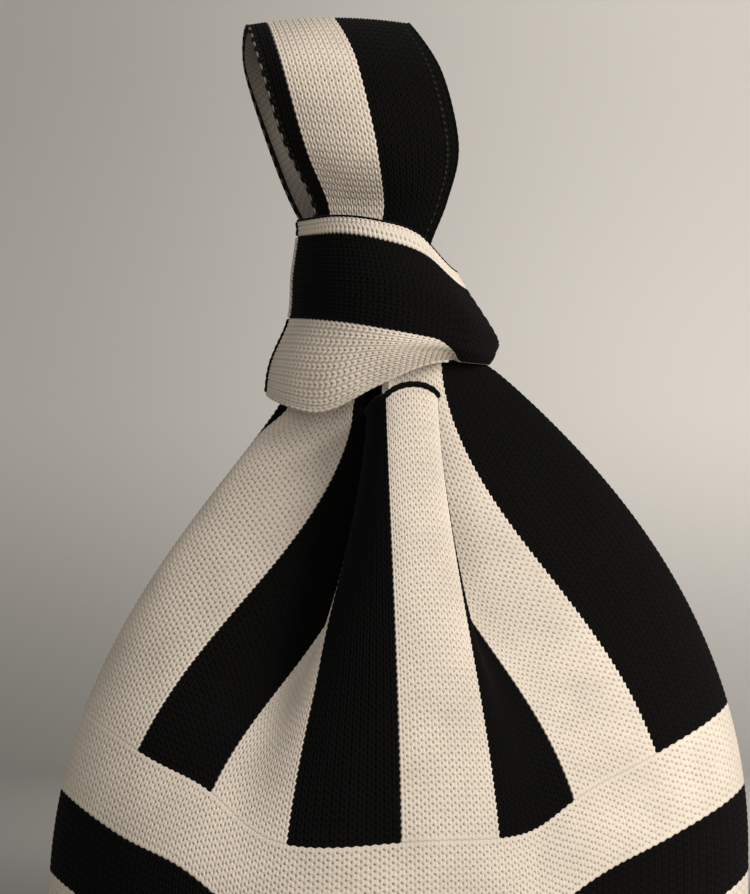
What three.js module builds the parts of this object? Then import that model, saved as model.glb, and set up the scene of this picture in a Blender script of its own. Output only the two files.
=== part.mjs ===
// Knitted knot bag: a striped pouch with a long handle drawn through the wrap of a short one.
// Millimetres, +Z up. The bag stands on z = 0, its front faces -Y and the short handle is at +X.
import * as THREE from 'three';

// Fabric
const KNIT_THICKNESS = 2.4;
const FIELD_GAP = 0.3;
const INNER_EDGE_INSET = 0.4;
const SEAM_RADIUS = 1.2;
const SEAM_CLEARANCE = 0.6;

// Pouch: 16 stripes run round it, 8 on the front and 8 on the back
const STRIPES_PER_SIDE = 8;
const POUCH_HALF_WIDTH = 106;
const POUCH_HALF_DEPTH = 50;
const FAN_LENGTH = 170;
const BASE_ROUND_FRONT = 22;
const BASE_ROUND_SIDE = 40;
const BASE_SEAM_HALF_LENGTH = 62;

// Courses, measured down the fabric from the mouth
const STRIPE_END = 136.5;
const BAND_HEIGHT = 25;
const PANEL_LENGTH = 272;
const MOUTH_EDGE_HEIGHT = 1.7;

// Gathered rim under the knot, one row for each stripe edge of the front, left to right:
// x, y and z of the rim, how long the fold stays closed, length hidden in the knot,
// how far the line drifts round the full pouch, in stripes
const GATHERED_RIM = [
  [-36, 0, 219, 1.05, 26, 0],
  [-14, -12.5, 216, 1.5, 14.5, 0.04],
  [-4.5, -6.5, 218, 2.4, 3, -0.06],
  [-8, -25, 216, 1.5, 4, -0.14],
  [-4, -36, 223, 1.2, 1, 0.03],
  [11.5, -34, 223, 1.6, 1, 0],
  [-0.5, -17, 225, 2.8, -7, -0.12],
  [13, -14, 230, 1.6, 1.5, -0.28],
  [28.5, 0, 229.5, 0.97, 11, 0],
];
// How far each front stripe runs on above the rim, up inside the knot
const STRIPE_RISE = [12, 12, 0, 0, 0, 0, 8, 7];

// Wrap of the short handle, one row for each level from the lower edge to the upper edge:
// x of the left end and the right end, half depth, then five heights from the left end to the right end
const WRAP_LEVELS = [
  [-40, 27.5, 24, 222.5, 216.8, 224.8, 231.5, 231],
  [-38.5, 28.6, 29, 231.5, 230, 233, 234.8, 232.5],
  [-33, 29.4, 31, 245, 243.6, 241, 238, 234.5],
  [-32, 29.7, 31, 258, 257, 255, 250, 239.5],
  [-30.4, 20.5, 27, 269.8, 270.3, 268.3, 264, 254],
  [-30.6, 17.5, 25, 274.6, 275.6, 274.2, 270.4, 259],
];
const WRAP_BLACK_FROM = 2;
// The cream narrows toward the right end, where the black rolls under: cosines of its angles, last level
const WRAP_CREAM_NARROWING = [0.28, 0.75];
const WRAP_CREAM_LAST_LEVEL = 0.95;
const WRAP_BLACK_TO = 4;
const WRAP_SEAM_WIDTH = 1.6;

// Long handle loop, one row for each station from the front foot over the top to the back foot:
// x and z of the left edge, x and z of the right edge, y, outward bow
const LOOP_STATIONS = [
  [-17, 257, 7, 257, -4, 0],
  [-20, 268, 9.5, 268, -5.5, 3],
  [-24, 281, 14.5, 281, -8.5, 4],
  [-35, 299, 17.7, 297, -18, 6],
  [-42, 322, 12.5, 319.5, -17, 4],
  [-46, 334, 3, 334.5, 0, 2],
  [-47, 322, 12.5, 319.5, 17, 4],
  [-40, 299, 17.7, 297, 18, 6],
  [-25.5, 281, 14.5, 281, 8.5, 4],
  [-20.5, 268, 9.5, 268, 5.5, 3],
  [-17, 257, 7, 257, 4, 0],
];
const LOOP_CREAM_FROM = 0.1;
const LOOP_CREAM_TO = 0.55;
const NECK_TOP_GAP = 0.3;
const NECK_FOOT_GAP = 1;

const CREAM = 0xd9cfba;
const BLACK = 0x141212;

const bag = new THREE.Group();

function addPiece(name, geometry, colour) {
  const material = new THREE.MeshStandardMaterial({ color: colour, roughness: 0.95, metalness: 0 });
  const mesh = new THREE.Mesh(geometry, material);
  mesh.name = name;
  bag.add(mesh);
}

// Smooth curve through rows of numbers, read at a fractional row
function throughRows(rows, position, closed) {
  const count = rows.length;
  const first = closed ? Math.floor(position) : Math.min(Math.max(Math.floor(position), 0), count - 2);
  const f = position - first;
  const row = (i) => rows[closed ? (i + count) % count : Math.min(Math.max(i, 0), count - 1)];
  const [before, from, to, after] = [row(first - 1), row(first), row(first + 1), row(first + 2)];
  return from.map((value, i) => {
    const slope = (to[i] - before[i]) / 2;
    const nextSlope = (after[i] - value) / 2;
    const rise = to[i] - value;
    return value + slope * f + (3 * rise - 2 * slope - nextSlope) * f * f
      + (slope + nextSlope - 2 * rise) * f * f * f;
  });
}

// The back of the rim mirrors the front
const RIM = [...GATHERED_RIM];
for (let i = STRIPES_PER_SIDE - 1; i > 0; i -= 1) {
  const [x, y, z, ease, hidden, drift] = GATHERED_RIM[i];
  RIM.push([x, -y, z, ease, hidden, -drift]);
}

// Angles of the full pouch's oval that give every stripe the same width
const OVAL_STEPS = 720;
const ovalLength = [0];
for (let i = 1; i <= OVAL_STEPS; i += 1) {
  const middle = (2 * Math.PI * (i - 0.5)) / OVAL_STEPS;
  const speed = Math.hypot(POUCH_HALF_WIDTH * Math.sin(middle), POUCH_HALF_DEPTH * Math.cos(middle));
  ovalLength.push(ovalLength[i - 1] + (speed * 2 * Math.PI) / OVAL_STEPS);
}

function ovalPoint(stripe) {
  const turns = stripe / (2 * STRIPES_PER_SIDE);
  const wanted = (turns - Math.floor(turns)) * ovalLength[OVAL_STEPS];
  let i = 1;
  while (ovalLength[i] < wanted) {
    i += 1;
  }
  const part = (wanted - ovalLength[i - 1]) / (ovalLength[i] - ovalLength[i - 1]);
  const angle = (2 * Math.PI * (i - 1 + part)) / OVAL_STEPS;
  return [-POUCH_HALF_WIDTH * Math.cos(angle), -POUCH_HALF_DEPTH * Math.sin(angle)];
}

// One upright line of stitches: where it leaves the knot, where it is fullest, how far it drops
function wale(stripe) {
  const [rimX, rimY, rimZ, ease, hidden, drift] = throughRows(RIM, stripe, true);
  const [fullX, fullY] = ovalPoint(stripe + drift);
  const spread = Math.hypot(fullX - rimX, fullY - rimY);
  const eased = (s) => {
    const rise = Math.sin((Math.PI / 2) * Math.min(s / FAN_LENGTH, 1));
    return Math.sign(rise) * Math.abs(rise) ** ease;
  };
  const height = (s) => {
    const steps = 24;
    let z = rimZ;
    for (let i = 0; i < steps; i += 1) {
      const outward = (spread * (eased((s * (i + 1)) / steps) - eased((s * i) / steps)) * steps) / s;
      z -= (s / steps) * Math.sqrt(Math.max(1 - outward * outward, 0.05));
    }
    return z;
  };
  return { rimX, rimY, hidden, fullX, fullY, eased, height, fullZ: height(FAN_LENGTH) };
}

// Point of the pouch: stripe counts round the bag, course is the length down from the mouth
function pouchPoint(stripe, course) {
  const line = wale(stripe);
  const s = course - line.hidden;
  if (s <= FAN_LENGTH) {
    const open = line.eased(s);
    const x = line.rimX + (line.fullX - line.rimX) * open;
    const y = line.rimY + (line.fullY - line.rimY) * open;
    return new THREE.Vector3(x, y, line.height(s || 1e-6));
  }
  const seamX = (line.fullX * BASE_SEAM_HALF_LENGTH) / POUCH_HALF_WIDTH;
  const inwardX = seamX - line.fullX;
  const inwardY = -line.fullY;
  const reach = Math.hypot(inwardX, inwardY);
  const sideways = (line.fullX / POUCH_HALF_WIDTH) ** 2;
  const round = BASE_ROUND_FRONT + (BASE_ROUND_SIDE - BASE_ROUND_FRONT) * sideways;
  const wall = line.fullZ - round;
  const arc = (Math.PI / 2) * round;
  const total = wall + arc + reach - round;
  const below = FAN_LENGTH + line.hidden;
  const run = (total * (course - below)) / (PANEL_LENGTH - below);
  let inward = 0;
  let z = line.fullZ - run;
  if (run > wall + arc) {
    inward = run - wall - arc + round;
    z = 0;
  } else if (run > wall) {
    const turn = (run - wall) / round;
    inward = round * (1 - Math.cos(turn));
    z = round * (1 - Math.sin(turn));
  }
  return new THREE.Vector3(line.fullX + (inwardX * inward) / reach, line.fullY + (inwardY * inward) / reach, z);
}

// Point of the short handle's wrap: angle 180 degrees is its left end, 270 degrees its front
function wrapPoint(angle, level) {
  const [left, right, depth, ...heights] = throughRows(WRAP_LEVELS, level, false);
  const along = Math.cos(angle);
  const [z] = throughRows(heights.map((height) => [height]), along * 2 + 2, false);
  return new THREE.Vector3((left + right + (right - left) * along) / 2, depth * Math.sin(angle), z);
}

// Point of the long handle's loop: across is 0 at its left edge and 1 at its right edge
function loopPoint(across, station) {
  const [xLeft, zLeft, xRight, zRight, y, bow] = throughRows(LOOP_STATIONS, station, false);
  const step = 0.01;
  const [, zBefore, , , yBefore] = throughRows(LOOP_STATIONS, station - step, false);
  const [, zAfter, , , yAfter] = throughRows(LOOP_STATIONS, station + step, false);
  const climb = Math.hypot(yAfter - yBefore, zAfter - zBefore);
  const out = 4 * bow * across * (1 - across);
  return new THREE.Vector3(
    xLeft + (xRight - xLeft) * across,
    y - (out * (zAfter - zBefore)) / climb,
    zLeft + (zRight - zLeft) * across + (out * (yAfter - yBefore)) / climb,
  );
}

// Closed slab of knit whose outer face is a surface of two parameters
function knitField(surface, [a0, a1], [b0, b1], [aSteps, bSteps], half) {
  const ownHalf = (y) => (half === 0 ? Math.min(y, -FIELD_GAP / 2) : Math.max(y, FIELD_GAP / 2));
  const keep = half === undefined ? (y) => y : ownHalf;
  const aTiny = (a1 - a0) * 1e-3;
  const bTiny = (b1 - b0) * 1e-3;
  const trim = (length) => FIELD_GAP / 2 / length;
  const outer = [];
  const inner = [];
  for (let i = 0; i <= aSteps; i += 1) {
    for (let j = 0; j <= bSteps; j += 1) {
      const bRough = b0 + ((b1 - b0) * j) / bSteps;
      const aRough = a0 + ((a1 - a0) * i) / aSteps;
      const aRate = surface(aRough + aTiny, bRough).distanceTo(surface(aRough - aTiny, bRough)) / (2 * aTiny);
      const bRate = surface(aRough, bRough + bTiny).distanceTo(surface(aRough, bRough - bTiny)) / Math.abs(2 * bTiny);
      const aInset = Math.min(trim(aRate), 0.05) * (1 - (2 * i) / aSteps);
      const bInset = trim(bRate) * (1 - (2 * j) / bSteps) * Math.sign(b1 - b0);
      const a = aRough + aInset;
      const b = bRough + bInset;
      const point = surface(a, b);
      const alongA = surface(a + aTiny, b).sub(surface(a - aTiny, b));
      const alongB = surface(a, b + bTiny).sub(surface(a, b - bTiny));
      const normal = alongB.cross(alongA).normalize();
      const innerA = a + (aInset * 2 * INNER_EDGE_INSET) / FIELD_GAP;
      const innerB = b + (bInset * 2 * INNER_EDGE_INSET) / FIELD_GAP;
      const within = surface(innerA, innerB).addScaledVector(normal, -KNIT_THICKNESS);
      outer.push(point.setY(keep(point.y)));
      inner.push(within.setY(keep(within.y)));
    }
  }
  const row = bSteps + 1;
  const count = outer.length;
  const at = (i, j) => i * row + j;
  const index = [];
  for (let i = 0; i < aSteps; i += 1) {
    for (let j = 0; j < bSteps; j += 1) {
      const [p, q, r, s] = [at(i, j), at(i, j + 1), at(i + 1, j + 1), at(i + 1, j)];
      index.push(p, q, r, p, r, s);
      index.push(count + p, count + r, count + q, count + p, count + s, count + r);
    }
  }
  const border = [];
  for (let j = 0; j < bSteps; j += 1) border.push(at(0, j));
  for (let i = 0; i < aSteps; i += 1) border.push(at(i, bSteps));
  for (let j = bSteps; j > 0; j -= 1) border.push(at(aSteps, j));
  for (let i = aSteps; i > 0; i -= 1) border.push(at(i, 0));
  border.forEach((p, i) => {
    const q = border[(i + 1) % border.length];
    index.push(q, p, count + p, q, count + p, count + q);
  });
  const geometry = new THREE.BufferGeometry();
  const positions = [...outer, ...inner].flatMap((point) => point.toArray());
  geometry.setAttribute('position', new THREE.Float32BufferAttribute(positions, 3));
  geometry.setIndex(index);
  geometry.computeVertexNormals();
  return geometry;
}

// Linked seam: a round cord laid along the inside of the fabric
function seamCord(points, steps) {
  const section = new THREE.Shape();
  section.absarc(0, 0, SEAM_RADIUS, 0, 2 * Math.PI, false);
  const extrudePath = new THREE.CatmullRomCurve3(points);
  return new THREE.ExtrudeGeometry(section, { steps, curveSegments: 3, bevelEnabled: false, extrudePath });
}

// Upright stripes of the front and the back
const SIDES = ['front', 'back'];
const colourName = (stripe) => (stripe % 2 === 0 ? 'cream' : 'black');
const colourOf = { cream: CREAM, black: BLACK };
SIDES.forEach((side, half) => {
  for (let i = 0; i < STRIPES_PER_SIDE; i += 1) {
    const stripe = half * STRIPES_PER_SIDE + i;
    const mirrored = half === 0 ? i : STRIPES_PER_SIDE - 1 - i;
    const colour = colourName(stripe);
    const surface = (a, along) => {
      const hidden = throughRows(RIM, a, true)[4];
      const top = hidden - STRIPE_RISE[mirrored];
      return pouchPoint(a, top + (STRIPE_END - top) * along);
    };
    const name = `${side}_${colour}_stripe_${Math.floor(i / 2) + 1}`;
    addPiece(name, knitField(surface, [stripe, stripe + 1], [0, 1], [4, 9], half), colourOf[colour]);
  }
});

// Level bands below the stripes, ending in the base
const BANDS = ['cream_band', 'black_band', 'lower_cream_band', 'lower_black_band', 'base_cream'];
SIDES.forEach((side, half) => {
  const stripes = [half * STRIPES_PER_SIDE, (half + 1) * STRIPES_PER_SIDE];
  BANDS.forEach((band, i) => {
    const isBase = i === BANDS.length - 1;
    const courses = [STRIPE_END + i * BAND_HEIGHT, isBase ? PANEL_LENGTH : STRIPE_END + (i + 1) * BAND_HEIGHT];
    const colour = colourOf[band.includes('cream') ? 'cream' : 'black'];
    addPiece(`${side}_${band}`, knitField(pouchPoint, stripes, courses, [32, isBase ? 5 : 2], half), colour);
  });
});

// Black cast-off edge of the mouth, between the handles
const EDGE_FROM = 2;
const EDGE_TO = 6;
SIDES.forEach((side, half) => {
  const stripes = half === 0 ? [EDGE_FROM, EDGE_TO] : [2 * STRIPES_PER_SIDE - EDGE_TO, 2 * STRIPES_PER_SIDE - EDGE_FROM];
  const surface = (a, along) => pouchPoint(a, throughRows(RIM, a, true)[4] - MOUTH_EDGE_HEIGHT * (1 - along));
  addPiece(`${side}_mouth_edge`, knitField(surface, stripes, [0, 1], [16, 1]), BLACK);
});

// Seams that join the front to the back, on the inside
function insideOf(stripe, course) {
  const tiny = 0.05;
  const alongStripe = pouchPoint(stripe + tiny, course).sub(pouchPoint(stripe - tiny, course));
  const alongCourse = pouchPoint(stripe, course + tiny).sub(pouchPoint(stripe, course - tiny));
  const inward = alongStripe.cross(alongCourse).normalize();
  return pouchPoint(stripe, course).addScaledVector(inward, KNIT_THICKNESS + SEAM_CLEARANCE + SEAM_RADIUS);
}
const SIDE_SEAM_START = 60;
const SIDE_SEAM_END = 232;
const SEAM_POINTS = 12;
[['left_side_seam', 0], ['right_side_seam', STRIPES_PER_SIDE]].forEach(([name, stripe]) => {
  const points = [];
  for (let i = 0; i <= SEAM_POINTS; i += 1) {
    points.push(insideOf(stripe, SIDE_SEAM_START + ((SIDE_SEAM_END - SIDE_SEAM_START) * i) / SEAM_POINTS));
  }
  addPiece(name, seamCord(points, 16), BLACK);
});
const seamHeight = KNIT_THICKNESS + SEAM_CLEARANCE + SEAM_RADIUS;
const bottomSeam = [-1, -0.5, 0, 0.5, 1].map((x) => new THREE.Vector3(x * BASE_SEAM_HALF_LENGTH, 0, seamHeight));
addPiece('bottom_seam', seamCord(bottomSeam, 4), CREAM);

// Short handle: its front and back meet in a black seam at the left end of the wrap
const wrapRadius = wrapPoint(Math.PI, WRAP_BLACK_FROM).distanceTo(wrapPoint(Math.PI + 0.01, WRAP_BLACK_FROM)) / 0.01;
const seamAngle = WRAP_SEAM_WIDTH / wrapRadius / 2;
const topLevel = WRAP_LEVELS.length - 1;
const blackFrom = (angle) => {
  const narrowed = THREE.MathUtils.smoothstep(Math.cos(angle), ...WRAP_CREAM_NARROWING);
  return WRAP_BLACK_FROM + (WRAP_CREAM_LAST_LEVEL - WRAP_BLACK_FROM) * narrowed;
};
const level = (value) => () => value;
const WRAP_FIELDS = [
  ['cream_wrap', blackFrom, level(0), CREAM, 4],
  ['black_wrap', level(WRAP_BLACK_TO), blackFrom, BLACK, 4],
  ['upper_cream_wrap', level(topLevel), level(WRAP_BLACK_TO), CREAM, 2],
];
WRAP_FIELDS.forEach(([name, upper, lower, colour, steps]) => {
  const surface = (angle, up) => wrapPoint(angle, lower(angle) + (upper(angle) - lower(angle)) * up);
  const front = [Math.PI + seamAngle, 2 * Math.PI];
  const back = [0, Math.PI - seamAngle];
  addPiece(`front_${name}`, knitField(surface, front, [1, 0], [14, steps]), colour);
  addPiece(`back_${name}`, knitField(surface, back, [1, 0], [14, steps]), colour);
});
const seamAngles = [Math.PI - seamAngle, Math.PI + seamAngle];
addPiece('short_handle_seam', knitField(wrapPoint, seamAngles, [topLevel, 0], [1, 10]), BLACK);

// Long handle: two neck limbs rise from the left stripes through the wrap and carry the loop
const lastStation = LOOP_STATIONS.length - 1;
const NECK_STRIPES = 2;
SIDES.forEach((side, half) => {
  const station = half === 0 ? 0 : lastStation;
  const top = (across) => loopPoint(across, station).add(new THREE.Vector3(0, 0, -NECK_TOP_GAP));
  const surface = (a, along) => {
    const across = half === 0 ? a / NECK_STRIPES : (2 * STRIPES_PER_SIDE - a) / NECK_STRIPES;
    const hidden = throughRows(RIM, a, true)[4];
    return top(across).lerp(pouchPoint(a, hidden - STRIPE_RISE[0] - NECK_FOOT_GAP), along);
  };
  const stripes = half === 0 ? [0, NECK_STRIPES] : [2 * STRIPES_PER_SIDE - NECK_STRIPES, 2 * STRIPES_PER_SIDE];
  addPiece(`${side}_neck_limb`, knitField(surface, stripes, [0, 1], [8, 3], half), half === 0 ? CREAM : BLACK);
});
const LOOP_FIELDS = [
  ['loop_black_edge', 0, LOOP_CREAM_FROM, BLACK, 1],
  ['loop_cream_stripe', LOOP_CREAM_FROM, LOOP_CREAM_TO, CREAM, 3],
  ['loop_black_stripe', LOOP_CREAM_TO, 1, BLACK, 3],
];
LOOP_FIELDS.forEach(([name, from, to, colour, steps]) => {
  addPiece(name, knitField(loopPoint, [from, to], [lastStation, 0], [steps, 24]), colour);
});

export default bag;
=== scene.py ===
"""Builds a knitted knot bag: striped pouch, knot wrap of the short handle and loop of the long handle.

Every knitted field is a smooth surface of two parameters counted in stitches: wales run along the yarn
columns and courses across them. Each stitch is raised from that surface as a pair of slanting yarn legs.
"""

import bpy
import numpy as np
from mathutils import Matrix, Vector

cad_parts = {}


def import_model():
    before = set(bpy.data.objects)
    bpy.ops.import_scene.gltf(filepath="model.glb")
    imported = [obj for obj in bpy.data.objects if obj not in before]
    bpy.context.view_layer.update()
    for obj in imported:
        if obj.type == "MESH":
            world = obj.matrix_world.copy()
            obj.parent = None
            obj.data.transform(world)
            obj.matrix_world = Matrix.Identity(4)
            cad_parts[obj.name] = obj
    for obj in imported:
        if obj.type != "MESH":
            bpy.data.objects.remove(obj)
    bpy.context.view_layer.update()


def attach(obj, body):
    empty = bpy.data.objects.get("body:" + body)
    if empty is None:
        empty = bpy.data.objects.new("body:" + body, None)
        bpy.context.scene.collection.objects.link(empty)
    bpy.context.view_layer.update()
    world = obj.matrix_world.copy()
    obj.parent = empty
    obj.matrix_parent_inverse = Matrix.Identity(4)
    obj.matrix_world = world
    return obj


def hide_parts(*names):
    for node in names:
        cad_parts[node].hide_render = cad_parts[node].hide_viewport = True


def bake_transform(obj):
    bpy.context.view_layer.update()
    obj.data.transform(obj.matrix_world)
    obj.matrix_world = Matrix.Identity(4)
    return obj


bl_info = {
    "name": "Knitted knot bag",
    "version": (1, 0, 0),
    "blender": (4, 5, 0),
    "location": "View3D > Sidebar > Knot bag",
    "description": "Builds a striped knitted knot bag stitch by stitch",
    "category": "Add Mesh",
}

SIDES = ("front", "back")

# Shape of the pouch, in millimetres and in counts of stripes, bands and stitches
STRIPES_PER_SIDE = 8
POUCH_HALF_WIDTH = 106.0
POUCH_HALF_DEPTH = 50.0
FAN_LENGTH = 170.0
BASE_ROUND_FRONT = 22.0
BASE_ROUND_SIDE = 40.0
BASE_SEAM_HALF_LENGTH = 62.0
STRIPE_END = 136.5
BAND_HEIGHT = 25.0
PANEL_LENGTH = 272.0
STRIPE_WALES = 13
STRIPE_COURSES = 64
BAND_COUNT = 4
BAND_COURSES = 12
BASE_COURSES = 17

# Gathered rim at each stripe edge of the front: x, y, z, how long the fold stays closed,
# length hidden in the knot, how far the line drifts round the full pouch, in stripes
GATHERED_RIM = np.array(
    [
        [-36.0, 0.0, 219.0, 1.05, 26.0, 0.0],
        [-14.0, -12.5, 216.0, 1.5, 14.5, 0.04],
        [-4.5, -6.5, 218.0, 2.4, 3.0, -0.06],
        [-9.5, -25.0, 216.0, 1.5, 4.0, -0.14],
        [-4.0, -36.0, 223.0, 1.2, 1.0, 0.03],
        [11.5, -34.0, 223.0, 1.6, 1.0, 0.0],
        [-3.0, -18.0, 225.0, 2.1, -4.0, -0.18],
        [13.0, -14.0, 230.0, 1.6, 1.5, -0.28],
        [28.5, 0.0, 229.5, 0.97, 11.0, 0.0],
    ]
)

# How far each front stripe runs on above the rim, toward a handle
STRIPE_RISE = (12.0, 12.0, 0.0, 0.0, 0.0, 0.0, 8.0, 7.0)

# Mouth's arch over the pleat, and its drop at each stripe edge from the third
MOUTH_ARCH = 3.2
ARCHED_STRIPE = 4
MOUTH_DROP = ((3, 4, 5, 6, 7), (0.0, 2.1, 2.1, 6.0, 0.0))

# Colour lines that turn round their fold under the knot: stripe edge, turn in stripes,
# course where the turn ends, course where it is full
FOLD_TURNS = ((0, 0.25, -55, -64), (3, -0.1, -22, -38), (13, 0.1, -22, -38))

# Wrap of the short handle from its lower edge to its upper edge: x of both ends, half depth,
# five heights from left to right
WRAP_LEVELS = np.array(
    [
        [-40.0, 27.5, 24.0, 220.0, 216.8, 224.8, 231.5, 231.0],
        [-38.5, 28.6, 29.0, 231.5, 230.0, 233.0, 234.8, 232.5],
        [-33.0, 29.4, 31.0, 245.0, 243.6, 241.0, 238.0, 234.5],
        [-32.0, 29.7, 31.0, 258.0, 257.0, 255.0, 250.0, 239.5],
        [-30.4, 20.5, 27.0, 269.8, 270.3, 268.3, 264.0, 254.0],
        [-30.6, 17.5, 25.0, 274.6, 275.6, 274.2, 270.4, 259.0],
    ]
)

# Colours of the wrap: levels where they meet, span of the cosine in which the cream narrows,
# level that it narrows to
WRAP_LEVEL_OF_COLOUR = (0.0, 2.0, 4.0, 5.0)
WRAP_CREAM_NARROWING = (0.36, 0.72)
WRAP_CREAM_LAST_LEVEL = 0.03

# Lower edge of the wrap: tuck under the black, cosine where the cream edge ends,
# lift and width of the corner
WRAP_TUCK = 1.6
WRAP_CREAM_EDGE_END = 0.64
WRAP_CORNER = (2.4, 0.25)

# Stitches of the wrap: wales where its colours meet, courses on one side
WRAP_WALES = (0, 11, 22, 24)
WRAP_COURSES = 54

# Loop of the long handle from the front foot to the back foot: left edge x, z, right edge x, z,
# y, outward bow
LOOP_STATIONS = np.array(
    [
        [-17.0, 257.0, 7.0, 257.0, -4.0, 0.0],
        [-24.0, 268.0, 9.5, 268.0, -5.5, 3.0],
        [-26.5, 281.0, 14.5, 281.0, -8.5, 4.0],
        [-35.0, 299.0, 17.7, 297.0, -18.0, 6.0],
        [-42.0, 322.0, 12.5, 319.5, -17.0, 4.0],
        [-46.0, 334.0, 3.0, 334.5, 0.0, 2.0],
        [-47.0, 322.0, 12.5, 319.5, 17.0, 4.0],
        [-40.0, 299.0, 17.7, 297.0, 18.0, 6.0],
        [-33.0, 281.0, 14.5, 281.0, 8.5, 4.0],
        [-25.5, 268.0, 9.5, 268.0, 5.5, 3.0],
        [-17.0, 257.0, 7.0, 257.0, 4.0, 0.0],
    ]
)

# Stitches of the loop: wales where its colours meet, wales with pale dots, courses
LOOP_WALES = (0, 3, 14, 26)
LOOP_PALE_WALES = ((0.5,), (), (24.5,))
LOOP_COURSES = 84

# Long handle inside the wrap: wales where its colours meet, courses, gaps at both ends in millimetres
NECK_WALES = (0, 14, 26)
NECK_COURSES = 13
NECK_TOP_GAP = 0.3
NECK_FOOT_GAP = 1.0

# Edges and seams, in millimetres: stripes that the mouth's edge spans, its rise, lengths of a chain stitch,
# places of the seams
MOUTH_STRIPES = (2, 6)
MOUTH_EDGE_RISE = 0.4
EDGE_STITCH = 2.4
SELVEDGE_STITCH = 2.2
SIDE_SEAM_SPAN = (60, 232)
SIDE_SEAM_INSET = 4.2
SIDE_SEAM_LIFT = 2.5
BOTTOM_SEAM_HEIGHT = 3.9

# One stitch, in shares of its wale, its course or its leg's height
STITCH_SLANT = 0.5
END_SLANT = 0.22
STITCH_SWAY = 0.09
LEVEL_HEIGHT = 0.6
END_HEIGHT = 0.7
# Share of yarn colour that the painted gap shade leaves in a field's first and last course
END_PAINTED_LIT = 0.88
BETWEEN_HEIGHT = 0.62
GROOVE_HEIGHT = 0.1
# Reach of the painted shade round each hole, in shares of a course
HOLE_SHADE_REACH = 0.26
RIBBED_VALLEY = 0.45
PLAIN_VALLEY = 0.25
RIBBED_RELIEF = 1.5
COARSE_FACES = (4, 4)


class KnotBagKnit(bpy.types.PropertyGroup):
    """Sizes and colours of the knit."""

    relief: bpy.props.FloatProperty(
        name="Stitch relief", description="Height of a yarn leg over the gaps", default=0.00045, unit="LENGTH"
    )
    thickness: bpy.props.FloatProperty(
        name="Knit thickness", description="Distance between the two faces", default=0.0022, unit="LENGTH"
    )
    edge_radius: bpy.props.FloatProperty(
        name="Edge radius",
        description="Radius of the mouth's cast-off chain and the seams",
        default=0.001,
        unit="LENGTH",
    )
    selvedge_radius: bpy.props.FloatProperty(
        name="Selvedge radius",
        description="Radius of the chains along the handles",
        default=0.00045,
        unit="LENGTH",
    )
    across: bpy.props.IntProperty(name="Across", description="Faces across one stitch", default=6)
    along: bpy.props.IntProperty(name="Along", description="Faces along one stitch", default=5)
    cream: bpy.props.FloatVectorProperty(
        name="Cream yarn",
        description="Colour of the pale yarn",
        default=(0.78, 0.675, 0.555),
        subtype="COLOR",
    )
    black: bpy.props.FloatVectorProperty(
        name="Black yarn",
        description="Colour of the dark yarn",
        default=(0.0032, 0.0029, 0.0026),
        subtype="COLOR",
    )


class KnotBagStage(bpy.types.PropertyGroup):
    """Backdrop, light and camera."""

    wall: bpy.props.FloatVectorProperty(
        name="Wall",
        description="Colour of the wall and the floor",
        default=(0.72, 0.685, 0.635),
        subtype="COLOR",
    )
    key: bpy.props.FloatProperty(name="Key", description="Watts of the window on the right", default=26.0)
    wash: bpy.props.FloatProperty(name="Wash", description="Watts of the light on the wall", default=21.0)
    fill: bpy.props.FloatProperty(name="Fill", description="Watts of the soft front light", default=3.8)
    sky: bpy.props.FloatProperty(name="Sky", description="Strength of the light from all round", default=0.28)
    distance: bpy.props.FloatProperty(
        name="Distance", description="From the camera to the middle of the bag", default=2.4, unit="LENGTH"
    )
    frame_height: bpy.props.FloatProperty(
        name="Frame height",
        description="Height in view at the middle of the bag",
        default=0.2715,
        unit="LENGTH",
    )
    centre: bpy.props.FloatVectorProperty(
        name="Centre", description="Middle of the view", default=(-0.0072, 0.0, 0.206), subtype="TRANSLATION"
    )


def lengths_along(points):
    """Length walked along a line of points, from 0 at its start."""
    return np.concatenate([[0], np.cumsum(np.linalg.norm(np.diff(points, axis=0), axis=1))])


def cubic(before, start, end, after, share):
    """Cubic from one value to the next, with slopes from the values on either side."""
    slope, next_slope, rise = (end - before) / 2, (after - start) / 2, end - start
    return (
        start
        + slope * share
        + (3 * rise - 2 * slope - next_slope) * share**2
        + (slope + next_slope - 2 * rise) * share**3
    )


def through_rows(rows, position, closed):
    """Smooth curve through rows of numbers: a cubic between neighbours."""
    count = len(rows)
    first = np.floor(position).astype(int)
    if not closed:
        first = np.clip(first, 0, count - 2)

    def row(index):
        return rows[index % count if closed else np.clip(index, 0, count - 1)]

    share = (position - first)[..., None]
    return cubic(row(first - 1), row(first), row(first + 1), row(first + 2), share)


RIM = np.vstack([GATHERED_RIM, GATHERED_RIM[-2:0:-1] * [1, -1, 1, 1, 1, -1]])
OVAL_ANGLE = np.linspace(0, 2 * np.pi, 1441)
OVAL_LENGTH = lengths_along(
    np.stack([POUCH_HALF_WIDTH * np.cos(OVAL_ANGLE), POUCH_HALF_DEPTH * np.sin(OVAL_ANGLE)], -1)
)


def oval_point(stripe):
    """Plan of the full pouch: an oval on which every stripe has the same width."""
    wanted = (stripe / (2 * STRIPES_PER_SIDE)) % 1 * OVAL_LENGTH[-1]
    angle = np.interp(wanted, OVAL_LENGTH, OVAL_ANGLE)
    return np.stack([-POUCH_HALF_WIDTH * np.cos(angle), -POUCH_HALF_DEPTH * np.sin(angle)], -1)


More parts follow.
